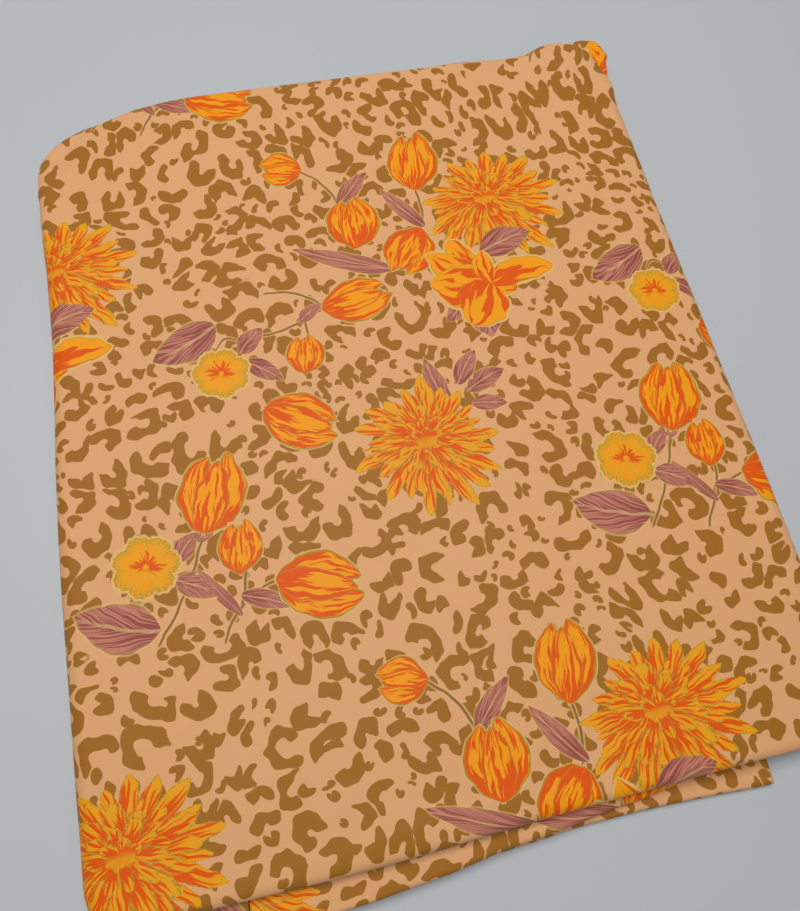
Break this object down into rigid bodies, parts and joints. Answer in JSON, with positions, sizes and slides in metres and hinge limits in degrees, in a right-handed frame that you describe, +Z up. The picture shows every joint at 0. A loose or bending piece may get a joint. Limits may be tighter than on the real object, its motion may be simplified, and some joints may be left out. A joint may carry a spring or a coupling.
{
  "type": "folded printed silk fabric",
  "caption": "Length of printed silk folded into a flat, rounded pack, with leopard spots and flowers.",
  "frame": {"origin": "middle of the pack's box, at the underside that rests on the table", "axes": "+X to the right along the near edge, where the turned-under crease is; +Y along the longer side, away from that edge; +Z up out of the printed face"},
  "size_m": [0.4837, 0.5939, 0.0282],
  "materials": {
    "printed_silk": "soft sheen"
  },
  "bodies": {
    "root": {"top_panel": "printed_silk", "under_panel": "printed_silk", "second_fold": "printed_silk", "bottom_fold": "printed_silk", "inner_fold": "printed_silk", "far_upper_fold": "printed_silk", "far_lower_fold": "printed_silk", "corner_tuck": "printed_silk", "hidden_layers": "printed_silk"}
  },
  "joints": []
}
